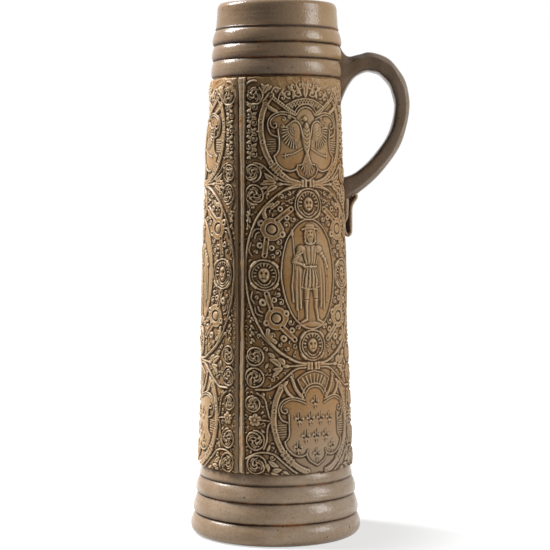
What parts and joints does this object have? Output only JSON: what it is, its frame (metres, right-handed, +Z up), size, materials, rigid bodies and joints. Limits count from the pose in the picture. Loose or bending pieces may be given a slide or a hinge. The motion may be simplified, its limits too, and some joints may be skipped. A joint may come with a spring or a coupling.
{
  "type": "tankard",
  "caption": "Tall tapering salt-glazed stoneware tankard with a turned rim and foot, moulded relief panels laid round the wall, and a strap handle for lifting and drinking.",
  "frame": {"origin": "centre of the flat base", "axes": "+Z up along the body's turning axis, +X towards the handle"},
  "size_m": [0.1342, 0.1056, 0.325],
  "materials": {
    "body_glaze": "glossy salt glaze, grey-brown",
    "relief_clay": "thin salt glaze, tan with dark hollows",
    "handle_glaze": "glossy salt glaze, grey-brown"
  },
  "bodies": {
    "root": {"thrown_body": "body_glaze", "relief_panel_front": "relief_clay", "relief_panel_left": "relief_clay", "relief_panel_rear": "relief_clay", "handle": "handle_glaze", "handle_scroll": "handle_glaze"}
  },
  "joints": []
}
